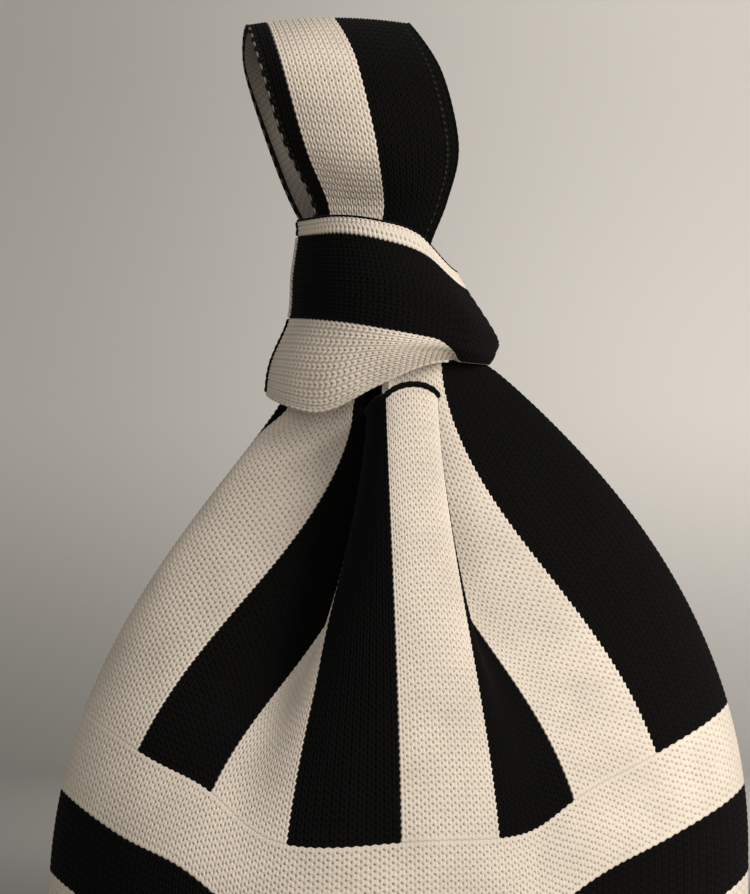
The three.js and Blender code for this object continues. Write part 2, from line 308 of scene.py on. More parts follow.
def pouch(stripe, course):
    """Points of the pouch in millimetres.

    Each wale leaves the gathered rim, moves out to the oval by a power of a quarter sine of the length
    walked down it, and drops by what is left of that length. Below, it goes straight down, round a quarter
    arc and in to the seam.
    """
    rim = through_rows(RIM, stripe, True)
    full = oval_point(stripe + rim[..., 5])
    spread = np.linalg.norm(full - rim[..., :2], axis=-1)
    length = course - rim[..., 4]

    def eased(distance):
        rise = np.sin(np.pi / 2 * np.minimum(distance / FAN_LENGTH, 1))
        return np.sign(rise) * np.abs(rise) ** rim[..., 3]

    def height(distance):
        steps = 24
        z = rim[..., 2].copy()
        before = np.zeros_like(distance)
        step = np.where(np.abs(distance) < 1e-6, 1e-6, distance) / steps
        for i in range(steps):
            after = eased(step * (i + 1))
            z -= step * np.sqrt(np.maximum(1 - (spread * (after - before) / step) ** 2, 0.05))
            before = after
        return z

    fan = np.minimum(length, FAN_LENGTH)
    plan = rim[..., :2] + (full - rim[..., :2]) * eased(fan)[..., None]
    z = height(fan)
    if np.any(length > FAN_LENGTH):
        full_z = height(np.full_like(length, FAN_LENGTH))
        inward = np.stack([full[..., 0] * (BASE_SEAM_HALF_LENGTH / POUCH_HALF_WIDTH - 1), -full[..., 1]], -1)
        reach = np.linalg.norm(inward, axis=-1)
        sideways = (full[..., 0] / POUCH_HALF_WIDTH) ** 2
        rounding = BASE_ROUND_FRONT + (BASE_ROUND_SIDE - BASE_ROUND_FRONT) * sideways
        wall = full_z - rounding
        arc = np.pi / 2 * rounding
        start = FAN_LENGTH + rim[..., 4]
        run = (wall + arc + reach - rounding) * (course - start) / (PANEL_LENGTH - start)
        turn = np.clip((run - wall) / rounding, 0, np.pi / 2)
        on_floor = np.maximum(run - wall - arc, 0)
        moved = rounding * (1 - np.cos(turn)) + on_floor
        low_z = full_z - np.minimum(run, wall) - rounding * np.sin(turn)
        below = length > FAN_LENGTH
        plan = np.where(below[..., None], full + inward * (moved / reach)[..., None], plan)
        z = np.where(below, np.maximum(low_z, 0), z)
    return np.concatenate([plan, z[..., None]], -1)


def rim_course(stripe):
    """Length at which each wale starts: the mouth drops round the pleat and arches by a half sine over it."""
    hidden = through_rows(RIM, stripe, True)[..., 4]
    mirrored = np.where(stripe > STRIPES_PER_SIDE, 2 * STRIPES_PER_SIDE - stripe, stripe)
    arch = MOUTH_ARCH * np.sin(np.pi * np.clip(mirrored - ARCHED_STRIPE, 0, 1))
    return hidden - arch + np.interp(mirrored, *MOUTH_DROP)


def pouch_by_stitch(wale, course):
    """The pouch counted in stitches: course 0 is where the stripes end, and courses above it are negative.

    Under the knot the wales beside some folds turn round them by a smooth step, so that one colour hides the
    other.
    """
    stripe = wale / STRIPE_WALES
    moved = np.zeros_like(stripe)
    for edge, turn, end, full in FOLD_TURNS:
        share = np.clip((course - end) / (full - end), 0, 1)
        away = np.abs((stripe - edge + STRIPES_PER_SIDE) % (2 * STRIPES_PER_SIDE) - STRIPES_PER_SIDE)
        moved += turn * share**2 * (3 - 2 * share) * np.clip(1 - away, 0, 1) ** 2
    stripe = stripe + moved
    above = STRIPE_END + course * (STRIPE_END - rim_course(stripe)) / STRIPE_COURSES
    below = STRIPE_END + course * BAND_HEIGHT / BAND_COURSES
    last_band = BAND_COUNT * BAND_COURSES
    base_start = STRIPE_END + BAND_COUNT * BAND_HEIGHT
    base = base_start + (course - last_band) * (PANEL_LENGTH - base_start) / BASE_COURSES
    banded = np.where(course < last_band, below, np.minimum(base, PANEL_LENGTH))
    return pouch(stripe, np.where(course < 0, above, banded))


def wrap(angle, level):
    """Points of the short handle's wrap: ovals whose height is a smooth curve of the place along x.

    The lower corner at the left end is rounded by a quarter circle.
    """
    rows = through_rows(WRAP_LEVELS, level, False)
    left, right, depth = np.moveaxis(rows[..., :3], -1, 0)
    along = np.cos(angle)
    first = np.clip(np.floor(along * 2 + 2).astype(int), 0, 3)

    def height(index):
        return np.take_along_axis(rows, 3 + np.clip(index, 0, 4)[..., None], -1)[..., 0]

    z = cubic(height(first - 1), height(first), height(first + 1), height(first + 2), along * 2 + 2 - first)
    lift, width = WRAP_CORNER
    from_corner = 1 - np.clip((along + 1) / width, 0, 1)
    z += lift * (1 - np.sqrt(1 - from_corner**2)) * np.clip(1 - level, 0, 1)
    return np.stack([(left + right + (right - left) * along) / 2, depth * np.sin(angle), z], -1)


def wrap_by_stitch(wale, course):
    """The wrap counted in stitches: wales rise from the lower edge, courses go round from the left end.

    The cream wales draw together toward the right end by a cube and tuck in where the black rolls under.
    """
    angle = np.pi * (1 + course / WRAP_COURSES)
    start, end = WRAP_CREAM_NARROWING
    share = np.clip((np.cos(angle) - start) / (end - start), 0, 1)
    narrowed = share**3
    low, cream, black, top = WRAP_LEVEL_OF_COLOUR
    cream = cream + (WRAP_CREAM_LAST_LEVEL - cream) * narrowed
    fields = zip(WRAP_WALES, WRAP_WALES[1:])
    first, second, last = (np.clip((wale - a) / (b - a), 0, 1) for a, b in fields)
    level = low + (cream - low) * first + (black - cream) * second + (top - black) * last
    tucked = (WRAP_TUCK * narrowed * (1 - first))[..., None]
    inward = np.stack([-np.cos(angle), -np.sin(angle), np.full_like(angle, 0.5)], -1)
    return wrap(angle, level) + tucked * inward


def loop_strap(across, station):
    """Points of the long handle's loop: straight across from edge to edge with a parabolic bow outwards."""
    rows = through_rows(LOOP_STATIONS, station, False)
    x_left, z_left, x_right, z_right, y, bow = np.moveaxis(rows, -1, 0)
    step = 0.01
    ahead, behind = (through_rows(LOOP_STATIONS, station + way * step, False) for way in (1, -1))
    change = ahead - behind
    climb = np.hypot(change[..., 4], change[..., 1])
    out = 4 * bow * across * (1 - across)
    return np.stack(
        [
            x_left + (x_right - x_left) * across,
            y - out * change[..., 1] / climb,
            z_left + (z_right - z_left) * across + out * change[..., 4] / climb,
        ],
        -1,
    )


LOOP_AT = np.linspace(0, len(LOOP_STATIONS) - 1, 401)
LOOP_LENGTH = lengths_along(loop_strap(np.full_like(LOOP_AT, 0.5), LOOP_AT))


def loop_by_stitch(wale, course):
    """The loop counted in stitches: wales from its left edge, courses from the back foot to the front."""
    station = np.interp((1 - course / LOOP_COURSES) * LOOP_LENGTH[-1], LOOP_LENGTH, LOOP_AT)
    return loop_strap(wale / LOOP_WALES[-1], station)


def neck_by_stitch(half):
    """The long handle inside the wrap, counted in stitches: a straight blend from loop to stripes."""

    def surface(wale, course):
        share = wale / NECK_WALES[-1]
        stripe = 2 * share if half == 0 else 2 * STRIPES_PER_SIDE - 2 * share
        hidden = through_rows(RIM, stripe, True)[..., 4]
        foot = pouch(stripe, hidden - STRIPE_RISE[0] - NECK_FOOT_GAP)
        station = np.full_like(share, 0.0 if half == 0 else len(LOOP_STATIONS) - 1.0)
        top = loop_strap(share, station) - [0, 0, NECK_TOP_GAP]
        return top + (foot - top) * (course / NECK_COURSES)[..., None]

    return surface


def grid_faces(rows, columns, start, flip):
    """Quads of a grid of points, row by row."""
    index = start + np.arange(rows * columns).reshape(rows, columns)
    quads = np.stack([index[:-1, :-1], index[1:, :-1], index[1:, 1:], index[:-1, 1:]], -1).reshape(-1, 4)
    return quads[:, ::-1] if flip else quads


def surface_normals(points, flip):
    """Unit normals of a grid of points from its differences along rows and columns."""
    normal = np.cross(np.gradient(points, axis=0), np.gradient(points, axis=1))
    normal /= np.maximum(np.linalg.norm(normal, axis=-1, keepdims=True), 1e-12)
    return -normal if flip else normal


def stitch_relief(wale, course, seed, pale_wales, ribbed):
    """Height, share of yarn colour left by the painted shade of gaps and holes, and pale dots of the
    stitches.

    A leg is round across its slanting row and across its half of the wale. There is a small hole in the
    fork of each stitch and one between it and its neighbour, half a course lower. A ribbed knit has grooves
    in place of the second ones.
    """
    near = 0.02
    row = course - np.floor(course)
    leg = 2 * wale - np.floor(2 * wale)
    rope = np.sqrt(np.maximum(1 - (2 * row - 1) ** 2, 0))
    side = np.sqrt(np.maximum(1 - (2 * leg - 1) ** 2, 0))
    half = np.floor(2 * wale + near).astype(int)
    between = np.abs(2 * wale - half) < 2 * near
    groove = between & (half % 2 == 0) & ribbed
    side = np.where(groove, GROOVE_HEIGHT, np.where(between, BETWEEN_HEIGHT, side))
    stitches = np.random.default_rng(seed).random((256, 512))
    chance = stitches[np.floor(course + 0.5).astype(int) % 256, half % 512]
    from_fork = np.minimum(row, 1 - row)
    hole = between & ~groove & (from_fork < near)
    # Painted shade: the yarn colour darkens toward the holes between stitches, where shade falls
    dark = np.clip(1 - from_fork / HOLE_SHADE_REACH, 0, 1) * (0.45 + 0.55 * chance)
    painted_hole_shade = np.where(between & ~groove, dark, 0)
    valley = RIBBED_VALLEY if ribbed else PLAIN_VALLEY
    height = (1 - valley + valley * rope) * side
    height = np.where(hole, -0.5 - 0.5 * chance, height)
    # Painted shade: lower relief and the shade round the holes keep less of the yarn colour
    open_share = (0.72 + 0.28 * np.clip(height, 0, 1) ** 0.5) * (1 - painted_hole_shade)
    pale = np.zeros_like(height)
    for edge in pale_wales:
        pale = np.where((np.abs(wale - edge) < near) & (row < 0.25), 0.1, pale)
    return height, open_share, pale


def knit_parts(surface, wales, courses, quads, knit, flip=False, seed=1, pale_wales=(), ribbed=True):
    """Outer face with raised stitches and plain inner face of one knitted field.

    The rows slant down to the middle of each wale, so that every stitch is a V and every end of the field a
    zigzag. The slant lessens in the first and the last course, and the field's own ends are level.
    """
    across, along = quads
    a = np.linspace(wales[0], wales[1], round((wales[1] - wales[0]) * across) + 1)
    b = np.linspace(courses[0], courses[1], max(round((courses[1] - courses[0]) * along), 1) + 1)
    column, row = np.meshgrid(a, b)
    u = column - np.floor(column)
    from_end = np.clip(np.minimum(row - courses[0], courses[1] - row), 0, 1)
    slant = END_SLANT + (STITCH_SLANT - END_SLANT) * from_end
    slanted = row + slant * (0.5 - np.abs(2 * u - 1))
    swayed = column + STITCH_SWAY * np.sin(2 * np.pi * row) * np.cos(np.pi * u) ** 2
    points = surface(swayed, slanted)
    normals = surface_normals(points, flip)
    height, open_share, pale = stitch_relief(column, row, seed, pale_wales, ribbed)
    height = np.where(from_end == 0, END_HEIGHT, height)
    # The first and last course take a fixed share of painted gap shade
    open_share = np.where(from_end == 0, END_PAINTED_LIT, open_share)
    width = np.linalg.norm(np.gradient(points, axis=1), axis=-1) * across
    relief = knit.relief * 1000 * np.clip(width / 2, 0.1, 1) * (RIBBED_RELIEF if ribbed else 1)
    outer = points + normals * ((height - LEVEL_HEIGHT) * relief)[..., None]
    outer_part = {
        "points": outer,
        "flip": flip,
        "material": 0,
        "uv": np.stack([column, row], -1),
        "open": open_share,
        "pale": pale,
    }
    rim_columns = np.arange(0, len(a), across)
    rim_rows = np.unique(np.append(np.arange(0, len(b), along), len(b) - 1))
    whole = np.ix_(rim_rows, rim_columns)
    plain = surface(column[whole], row[whole])
    inner = plain - surface_normals(plain, flip) * knit.thickness * 1000
    inner_part = {
        "points": inner,
        "flip": not flip,
        "material": 1,
        "uv": np.stack([column, row], -1)[whole],
        "open": np.full(inner.shape[:2], 0.8),
        "pale": np.zeros(inner.shape[:2]),
        "rim_rows": rim_rows,
        "rim_columns": rim_columns,
    }
    outer_part["flat"] = tuple(
        float(np.linalg.norm(np.diff(plain, axis=axis), axis=-1).sum(axis=axis).max()) * 0.001
        for axis in (1, 0)
    )
    return [outer_part, inner_part]


def rim_strip(outer, inner, places, forward):
    """Triangles between a fine edge and a coarse one: each coarse point fans out to the fine points by it."""
    middles = (places[:-1] + places[1:]) / 2
    nearest = np.searchsorted(middles, np.arange(len(outer) - 1) + 0.5)
    fans = np.stack([outer[:-1], outer[1:], inner[nearest]], -1)
    switch = np.searchsorted(nearest, np.arange(1, len(inner)))
    bridges = np.stack([inner[1:], inner[:-1], outer[switch]], -1)
    strip = np.concatenate([fans, bridges])
    return strip if forward else strip[:, ::-1]


def rim_faces(outer, inner, part):
    """Triangles that close a field all round, from its outer grid of points to its inner one."""
    rows, columns, flip = part["rim_rows"], part["rim_columns"], not part["flip"]
    return np.concatenate(
        [
            rim_strip(outer[0], inner[0], columns, not flip),
            rim_strip(outer[-1], inner[-1], columns, flip),
            rim_strip(outer[:, 0], inner[:, 0], rows, flip),
            rim_strip(outer[:, -1], inner[:, -1], rows, not flip),
        ]
    )


def chain_part(path, radius, pitch, pale_every=0):
    """Chain of stitches along a path in millimetres: a tube whose radius swells once for every stitch."""
    rings, sides = 6, 8
    length = lengths_along(path)
    stitches = max(round(length[-1] / pitch), 1)
    at = np.linspace(0, stitches, stitches * rings + 1)
    line = np.stack([np.interp(at / stitches * length[-1], length, path[:, k]) for k in range(3)], -1)
    tangent = np.gradient(line, axis=0)
    tangent /= np.linalg.norm(tangent, axis=1, keepdims=True)
    off_path = [0.31, 0.17, 0.93]
    side = np.cross(tangent, off_path)
    side /= np.linalg.norm(side, axis=1, keepdims=True)
    other = np.cross(tangent, side)
    swell = np.abs(np.sin(np.pi * at))
    turn = np.linspace(0, 2 * np.pi, sides + 1)
    around = np.cos(turn)[None, :, None] * side[:, None] + np.sin(turn)[None, :, None] * other[:, None]
    ends = np.where((at < 0.01) | (at > stitches - 0.01), 0.05, 1.0)
    size = radius * 1000 * (0.8 + 0.2 * swell) * ends
    points = line[:, None] + around * size[:, None, None]
    shape = points.shape[:2]
    pale = np.zeros(shape)
    if pale_every:
        pale += ((np.floor(at + 0.001).astype(int) % pale_every) == 0)[:, None] * 0.22
    return {
        "points": points,
        "flip": False,
        "material": 0,
        "uv": np.stack(np.broadcast_arrays(turn[None] / np.pi, at[:, None]), -1),
        # Painted shade: each chain stitch darkens where it narrows to the next
        "open": np.broadcast_to((0.5 + 0.5 * swell)[:, None], shape),
        "pale": pale,
    }


def build_object(name, parts, materials):
    """One mesh object from grids of points in millimetres, with its stitch map and attributes."""
    points, faces, slots, uv, open_share, pale = [], [], [], [], [], []
    rims = [np.zeros((0, 3), dtype=int)]
    count = 0
    for part in parts:
        rows, columns = part["points"].shape[:2]
        quads = grid_faces(rows, columns, count, part["flip"])
        index = count + np.arange(rows * columns).reshape(rows, columns)
        if "rim_rows" in part:
            rims.append(rim_faces(outer, index, part))
        outer = index
        points.append(part["points"].reshape(-1, 3))
        faces.append(quads)
        slots.append(np.full(len(quads), part["material"]))
        uv.append(part["uv"].reshape(-1, 2))
        open_share.append(part["open"].reshape(-1))
        pale.append(part["pale"].reshape(-1))
        count += rows * columns
    points, faces, uv = np.concatenate(points) * 0.001, np.concatenate(faces), np.concatenate(uv)
    rim = np.concatenate(rims)
    corners = np.concatenate([faces.ravel(), rim.ravel()])
    starts = np.concatenate([np.arange(len(faces)) * 4, faces.size + np.arange(len(rim)) * 3])
    slots = np.concatenate([*slots, np.zeros(len(rim))])
    mesh = bpy.data.meshes.new(name)
    mesh.vertices.add(len(points))
    mesh.vertices.foreach_set("co", points.astype(np.float32).ravel())
    mesh.loops.add(len(corners))
    mesh.loops.foreach_set("vertex_index", corners.astype(np.int32))
    mesh.polygons.add(len(starts))
    mesh.polygons.foreach_set("loop_start", starts.astype(np.int32))
    mesh.polygons.foreach_set("material_index", slots.astype(np.int32))
    mesh.polygons.foreach_set("use_smooth", np.arange(len(starts)) < len(faces))
    layer = mesh.uv_layers.new(name="stitch")
    layer.data.foreach_set("uv", uv[corners].astype(np.float32).ravel())
    # The first attribute is the share of yarn colour left by the painted shade of gaps and holes; the second
    # marks the pale dots
    for key, values in (("open_share", open_share), ("pale_dots", pale)):
        attribute = mesh.attributes.new(key, "FLOAT", "POINT")
        attribute.data.foreach_set("value", np.concatenate(values).astype(np.float32))
    for material in materials:
        mesh.materials.append(material)
    mesh.update(calc_edges=True)
    mesh.validate()
    obj = bpy.data.objects.new(name, mesh)
    bpy.context.scene.collection.objects.link(obj)
    return obj


def yarn_group():
    """Shared shader group: yarn colour with twist, fuzz and shaded gaps, and the height of its fibres."""
    group = bpy.data.node_groups.get("yarn_surface")
    if group:
        return group
    group = bpy.data.node_groups.new("yarn_surface", "ShaderNodeTree")
    face = group.interface
    face.new_socket("Yarn", in_out="INPUT", socket_type="NodeSocketColor")
    face.new_socket("Other yarn", in_out="INPUT", socket_type="NodeSocketColor")
    face.new_socket("Gap shade", in_out="INPUT", socket_type="NodeSocketColor")
    face.new_socket("Color", in_out="OUTPUT", socket_type="NodeSocketColor")
    face.new_socket("Height", in_out="OUTPUT", socket_type="NodeSocketFloat")
    nodes, links = group.nodes, group.links
    start, end = nodes.new("NodeGroupInput"), nodes.new("NodeGroupOutput")
    place = nodes.new("ShaderNodeTexCoord")
    stitch = nodes.new("ShaderNodeUVMap")
    stitch.uv_map = "stitch"
    fuzz = nodes.new("ShaderNodeTexNoise")
    fuzz.inputs["Scale"].default_value = 2600
    fuzz.inputs["Detail"].default_value = 3
    links.new(place.outputs["Object"], fuzz.inputs["Vector"])
    patch = nodes.new("ShaderNodeTexNoise")
    patch.inputs["Scale"].default_value = 60
    patch.inputs["Detail"].default_value = 2
    links.new(place.outputs["Object"], patch.inputs["Vector"])
    twist = nodes.new("ShaderNodeTexWave")
    twist.bands_direction = "DIAGONAL"
    twist.inputs["Scale"].default_value = 1.4
    twist.inputs["Distortion"].default_value = 1.5
    twist.inputs["Detail"].default_value = 1
    links.new(stitch.outputs["UV"], twist.inputs["Vector"])
    # Share of yarn colour left by the painted shade of gaps and holes
    opened = nodes.new("ShaderNodeAttribute")
    opened.attribute_name = "open_share"
    dots = nodes.new("ShaderNodeAttribute")
    dots.attribute_name = "pale_dots"
    own = nodes.new("ShaderNodeMix")
    own.data_type = "RGBA"
    links.new(dots.outputs["Fac"], own.inputs["Factor"])
    links.new(start.outputs["Yarn"], own.inputs["A"])
    links.new(start.outputs["Other yarn"], own.inputs["B"])
    tone = nodes.new("ShaderNodeMapRange")
    tone.inputs["To Min"].default_value = 0.8
    tone.inputs["To Max"].default_value = 1.16
    links.new(patch.outputs["Fac"], tone.inputs["Value"])
    fibre = nodes.new("ShaderNodeMapRange")
    fibre.inputs["To Min"].default_value = 0.86
    fibre.inputs["To Max"].default_value = 1.12
    links.new(fuzz.outputs["Fac"], fibre.inputs["Value"])
    both = nodes.new("ShaderNodeMath")
    both.operation = "MULTIPLY"
    links.new(tone.outputs["Result"], both.inputs[0])
    links.new(fibre.outputs["Result"], both.inputs[1])
    varied = nodes.new("ShaderNodeVectorMath")
    varied.operation = "SCALE"
    links.new(own.outputs["Result"], varied.inputs[0])
    links.new(both.outputs["Value"], varied.inputs["Scale"])
    # Painted shade: gaps and holes mix toward the darkened gap colour
    shaded = nodes.new("ShaderNodeMix")
    shaded.data_type = "RGBA"
    links.new(opened.outputs["Fac"], shaded.inputs["Factor"])
    links.new(start.outputs["Gap shade"], shaded.inputs["A"])
    links.new(varied.outputs["Vector"], shaded.inputs["B"])
    links.new(shaded.outputs["Result"], end.inputs["Color"])
    height = nodes.new("ShaderNodeMath")
    height.operation = "MULTIPLY_ADD"
    height.inputs[1].default_value = 0.5
    links.new(twist.outputs["Fac"], height.inputs[0])
    links.new(fuzz.outputs["Fac"], height.inputs[2])
    links.new(height.outputs["Value"], end.inputs["Height"])
    return group


def yarn_material(name, yarn, other, gap_shade_share, sheen):
    """Matt yarn of one colour, whose gaps take painted shade, a darkened share of its colour, and whose dots
    take the other yarn's colour.
    """
    material = bpy.data.materials.get(name)
    if material:
        return material
    material = bpy.data.materials.new(name)
    material.use_nodes = True
    nodes, links = material.node_tree.nodes, material.node_tree.links
    shader = nodes["Principled BSDF"]
    shader.inputs["Roughness"].default_value = 0.92
    shader.inputs["Specular IOR Level"].default_value = 2 * sheen
    shader.inputs["Sheen Weight"].default_value = sheen
    shader.inputs["Sheen Roughness"].default_value = 0.6
    surface = nodes.new("ShaderNodeGroup")
    surface.node_tree = yarn_group()
    surface.inputs["Yarn"].default_value = (*yarn, 1)
    surface.inputs["Other yarn"].default_value = (*other, 1)
    # Painted shade colour of the gaps: a darkened share of the yarn
    surface.inputs["Gap shade"].default_value = (*[gap_shade_share * c for c in yarn], 1)
    bump = nodes.new("ShaderNodeBump")
    bump.inputs["Strength"].default_value = 0.35
    bump.inputs["Distance"].default_value = 0.0002
    links.new(surface.outputs["Color"], shader.inputs["Base Color"])
    links.new(surface.outputs["Height"], bump.inputs["Height"])
    links.new(bump.outputs["Normal"], shader.inputs["Normal"])
    return material


def reverse_material(cream):
    """Reverse of the knit: cream stitches of two tones by turns, as in a heathered backing, darkened by
    painted shade, counted on the stitch map.
    """
    material = bpy.data.materials.get("reverse_yarn_painted_shade")
    if material:
        return material
    material = bpy.data.materials.new("reverse_yarn_painted_shade")
    material.use_nodes = True
    nodes, links = material.node_tree.nodes, material.node_tree.links
    shader = nodes["Principled BSDF"]
    shader.inputs["Roughness"].default_value = 0.95
    shader.inputs["Specular IOR Level"].default_value = 0.08
    stitch = nodes.new("ShaderNodeUVMap")
    stitch.uv_map = "stitch"
    turns = nodes.new("ShaderNodeTexChecker")
    turns.inputs["Scale"].default_value = 2.0
    # Two tones by turns are the backing's heather; the overall darkening of the cream is painted shade
    turns.inputs["Color1"].default_value = (*[0.32 * c for c in cream], 1)
    turns.inputs["Color2"].default_value = (*[0.24 * c for c in cream], 1)
    links.new(stitch.outputs["UV"], turns.inputs["Vector"])
    links.new(turns.outputs["Color"], shader.inputs["Base Color"])
    return material


def yarn_pair(knit, colour):
    """Outer and inner material of a field."""
    cream, black = tuple(knit.cream), tuple(knit.black)
    # The share sets how dark the painted shade in the gaps is
    if colour == "cream":
        outer = yarn_material("cream_yarn", cream, black, gap_shade_share=0.05, sheen=0.05)
    else:
        outer = yarn_material("black_yarn", black, cream, gap_shade_share=0.1, sheen=0.026)
    return [outer, reverse_material(cream)]


def add_piece(name, parts, knit, colour, body="bag"):
    """A knitted piece riding on a body; the carry loop's pieces get no parent, their place baked into the
    mesh.
    """
    obj = build_object(name, parts, yarn_pair(knit, colour))
    if body == "carry_loop":
        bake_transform(obj)
    else:
        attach(obj, body)
    return obj


def add_field(node, parts, knit, colour, body="bag"):
    """A knitted piece in the place of its CAD node."""
    obj = add_piece("knit_" + node, parts, knit, colour, body)
    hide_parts(node)
    return obj


def add_chain(name, path, knit, colour, body, pale_every=0):
    """A chain of stitches along the edge of a handle."""
    chain = chain_part(path, knit.selvedge_radius, SELVEDGE_STITCH, pale_every)
    return add_piece(name, [chain], knit, colour, body)


def colour_of(stripe):
    """Stripes alternate round the bag, cream first."""
    return "cream" if stripe % 2 == 0 else "black"


def fine(half, knit):
    """Faces for one stitch: more on the front, which the camera sees."""
    return (knit.across, knit.along) if half == 0 else COARSE_FACES


class KNOTBAG_OT_stripes(bpy.types.Operator):
    """Knits the upright stripes of the front and the back"""

    bl_idname = "knotbag.stripes"
    bl_label = "Upright stripes"

    def execute(self, context):
        knit = context.scene.knotbag_knit
        for half, side in enumerate(SIDES):
            for i in range(STRIPES_PER_SIDE):
                stripe = half * STRIPES_PER_SIDE + i
                rise = STRIPE_RISE[i if half == 0 else STRIPES_PER_SIDE - 1 - i]
                top = -STRIPE_COURSES - round(rise / 2)
                wales = (stripe * STRIPE_WALES, (stripe + 1) * STRIPE_WALES)
                colour = colour_of(stripe)
                ribbed = colour == "black"
                parts = knit_parts(pouch_by_stitch, wales, (top, 0), fine(half, knit), knit, ribbed=ribbed)
                add_field(f"{side}_{colour}_stripe_{i // 2 + 1}", parts, knit, colour)
        return {"FINISHED"}


class KNOTBAG_OT_bands(bpy.types.Operator):
    """Knits the level bands and the base"""

    bl_idname = "knotbag.bands"
    bl_label = "Bands and base"

    def execute(self, context):
        knit = context.scene.knotbag_knit
        bands = ("cream_band", "black_band", "lower_cream_band", "lower_black_band", "base_cream")
        in_view = 3
        side_wales = STRIPES_PER_SIDE * STRIPE_WALES
        for half, side in enumerate(SIDES):
            wales = (half * side_wales, (half + 1) * side_wales)
            for i, band in enumerate(bands):
                start = i * BAND_COURSES
                courses = (start, start + (BAND_COURSES if i < BAND_COUNT else BASE_COURSES))
                quads = fine(half, knit) if i < in_view else COARSE_FACES
                colour = "cream" if "cream" in band else "black"
                parts = knit_parts(pouch_by_stitch, wales, courses, quads, knit, ribbed=colour == "black")
                add_field(f"{side}_{band}", parts, knit, colour)
        return {"FINISHED"}


class KNOTBAG_OT_edges(bpy.types.Operator):
    """Adds the cast-off edges of the mouth and the linked seams inside"""

    bl_idname = "knotbag.edges"
    bl_label = "Edges and seams"

    def execute(self, context):
        knit = context.scene.knotbag_knit
        for half, side in enumerate(SIDES):
            stripe = np.linspace(*MOUTH_STRIPES, 200) + half * STRIPES_PER_SIDE
            path = pouch(stripe, rim_course(stripe) - MOUTH_EDGE_RISE)
            add_field(f"{side}_mouth_edge", [chain_part(path, knit.edge_radius, EDGE_STITCH)], knit, "black")
        length = np.linspace(*SIDE_SEAM_SPAN, 90)
        for name, stripe, inward in (("left_side_seam", 0.0, 1), ("right_side_seam", STRIPES_PER_SIDE, -1)):
            path = pouch(np.full_like(length, stripe), length)
            path += [inward * SIDE_SEAM_INSET, 0, SIDE_SEAM_LIFT]
            add_field(name, [chain_part(path, knit.edge_radius, EDGE_STITCH)], knit, "black")
        x = np.linspace(-BASE_SEAM_HALF_LENGTH, BASE_SEAM_HALF_LENGTH, 60)
        seam = np.stack([x, np.zeros_like(x), np.full_like(x, BOTTOM_SEAM_HEIGHT)], -1)
        add_field("bottom_seam", [chain_part(seam, knit.edge_radius, EDGE_STITCH)], knit, "cream")
        return {"FINISHED"}


class KNOTBAG_OT_wrap(bpy.types.Operator):
    """Knits the short handle's wrap round the long handle"""

    bl_idname = "knotbag.wrap"
    bl_label = "Short handle's wrap"

    def execute(self, context):
        knit = context.scene.knotbag_knit
        seams = []
        for start, end in zip(WRAP_LEVEL_OF_COLOUR, WRAP_LEVEL_OF_COLOUR[1:]):
            path = wrap(np.full(60, np.pi), np.linspace(start, end, 60))
            seams.append(chain_part(path, knit.edge_radius, SELVEDGE_STITCH))
        add_field("short_handle_seam", [seams[0], seams[2]], knit, "black")
        add_piece("short_handle_seam_cream", [seams[1]], knit, "cream")
        for half, side in enumerate(SIDES):
            courses = (half * WRAP_COURSES, (half + 1) * WRAP_COURSES)
            fields = [
                knit_parts(wrap_by_stitch, wales, courses, fine(half, knit), knit, seed=2)
                for wales in zip(WRAP_WALES, WRAP_WALES[1:])
            ]
            turn = np.linspace(np.pi, 2 * np.pi, 150) + half * np.pi
            top = wrap(turn, np.full_like(turn, WRAP_LEVEL_OF_COLOUR[-1]))
            upper = add_chain(f"{side}_wrap_top_edge", top, knit, "black", "bag")
            hem = turn[np.cos(turn) < WRAP_CREAM_EDGE_END]
            lower = add_chain(f"{side}_wrap_lower_edge", wrap(hem, np.zeros_like(hem)), knit, "cream", "bag")
            narrow = add_field(f"{side}_upper_cream_wrap", fields[2], knit, "cream")
            add_field(f"{side}_black_wrap", fields[1], knit, "black")
            add_field(f"{side}_cream_wrap", fields[0], knit, "cream")
        return {"FINISHED"}


class KNOTBAG_OT_loop(bpy.types.Operator):
    """Knits the long handle: the limbs inside the wrap, the loop and its selvedges"""

    bl_idname = "knotbag.loop"
    bl_label = "Long handle"

    def execute(self, context):
        knit = context.scene.knotbag_knit
        for half, side in enumerate(SIDES):
            surface, courses = neck_by_stitch(half), (0, NECK_COURSES)
            cream, black = (
                knit_parts(surface, wales, courses, COARSE_FACES, knit, flip=half == 1, seed=4)
                for wales in zip(NECK_WALES, NECK_WALES[1:])
            )
            add_field(f"{side}_neck_limb", cream, knit, "cream", "long_handle")
            add_piece(f"{side}_neck_limb_black", black, knit, "black", "long_handle")
        station = np.linspace(0, len(LOOP_STATIONS) - 1, 300)
        edges = [loop_strap(np.full_like(station, across), station) for across in (0.0, 1.0)]
        left = add_chain("loop_left_selvedge", edges[0], knit, "black", "carry_loop", pale_every=2)
        right = add_chain("loop_right_selvedge", edges[1], knit, "black", "carry_loop")
        courses = (0, LOOP_COURSES)
        fields = [
            knit_parts(loop_by_stitch, (start, end), courses, fine(0, knit), knit, seed=3, pale_wales=pale)
            for start, end, pale in zip(LOOP_WALES, LOOP_WALES[1:], LOOP_PALE_WALES)
        ]
        narrow = add_field("loop_black_edge", fields[0], knit, "black", body="carry_loop")
        add_field("loop_cream_stripe", fields[1], knit, "cream", "carry_loop")
        add_field("loop_black_stripe", fields[2], knit, "black", "carry_loop")
        return {"FINISHED"}


